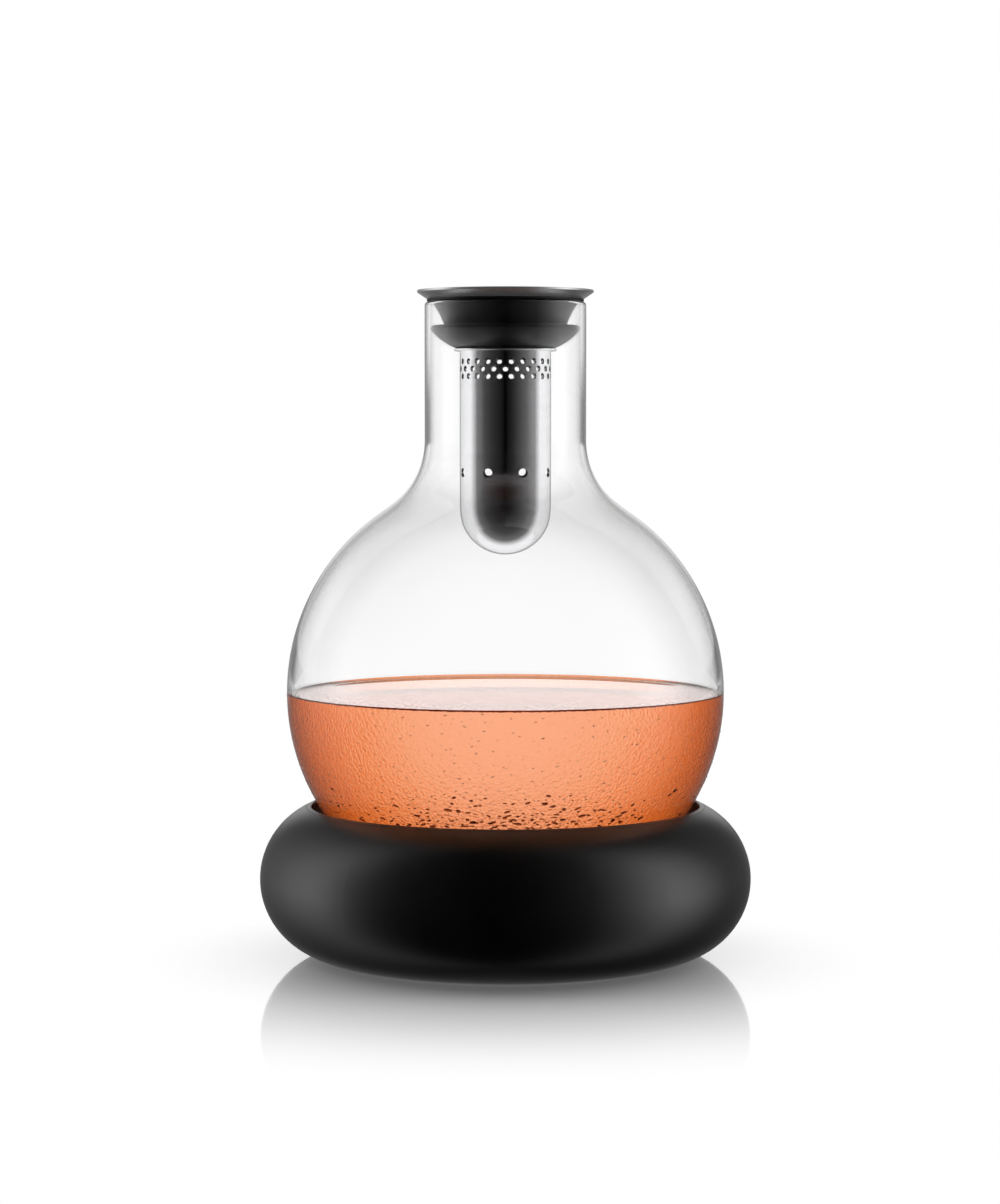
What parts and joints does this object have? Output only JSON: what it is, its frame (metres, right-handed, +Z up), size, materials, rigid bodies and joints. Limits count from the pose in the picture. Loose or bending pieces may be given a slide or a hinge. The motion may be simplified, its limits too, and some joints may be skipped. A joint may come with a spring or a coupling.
{
  "type": "pitcher with ice core",
  "caption": "Stemless round glass carafe with a steel pouring lip, a weighted pour flap and a strainer tube, in a ring base with a freezer pack.",
  "frame": {"origin": "on the axis of the carafe, at the surface that the base stands on", "axes": "+Z up along the axis of the carafe; the carafe pours towards -Y, the flap's hinge is at +Y; +X is to the right in the picture"},
  "size_m": [0.1644, 0.1644, 0.2227],
  "materials": {
    "glass": "clear blown glass",
    "drink": "clear rose-coloured liquid",
    "steel_brushed": "fine brushed",
    "steel_polished": "polished",
    "silicone_black": "satin moulded silicone",
    "silicone_grey": "matt moulded silicone",
    "plastic_black": "fine moulded texture",
    "soft_touch_black": "soft matt coating",
    "foam": "closed-cell foam",
    "steel_zinc": "zinc plated",
    "pack_plastic": "satin moulded plastic",
    "gel": "cooling gel"
  },
  "bodies": {
    "base": {"base_shell": "soft_touch_black", "base_well": "soft_touch_black", "base_insulation": "foam", "base_floor": "plastic_black", "floor_screws": "steel_zinc", "foot_ring": "silicone_grey"},
    "pack": {"pack_tray": "pack_plastic", "pack_cover": "pack_plastic", "pack_gel": "gel", "pack_plug": "silicone_grey"},
    "carafe": {"carafe_glass": "glass", "drink": "drink"},
    "stopper": {"pour_lip": "steel_brushed", "stopper_seal": "silicone_black", "stopper_core": "plastic_black", "strainer_seal": "silicone_grey", "flap_pin": "steel_polished"},
    "flap": {"pour_flap": "plastic_black", "flap_gasket": "silicone_grey", "flap_weight": "steel_polished"},
    "strainer": {"strainer_tube": "steel_polished"}
  },
  "joints": [
    {"name": "pack_lift", "type": "slide", "parent": "base", "child": "pack", "axis": [0, 0, 1], "range_m": [0, 0.045]},
    {"name": "carafe_lift", "type": "slide", "parent": "pack", "child": "carafe", "axis": [0, 0, 1], "range_m": [0, 0.05]},
    {"name": "stopper_lift", "type": "slide", "parent": "carafe", "child": "stopper", "axis": [0, 0, 1], "range_m": [0, 0.09]},
    {"name": "flap_tilt", "type": "hinge", "parent": "stopper", "child": "flap", "pos_m": [0, 0.014, 0.2134], "axis": [-1, 0, 0], "range_deg": [0, 60]},
    {"name": "strainer_pull", "type": "slide", "parent": "stopper", "child": "strainer", "axis": [0, 0, -1], "range_m": [0, 0.012]}
  ]
}
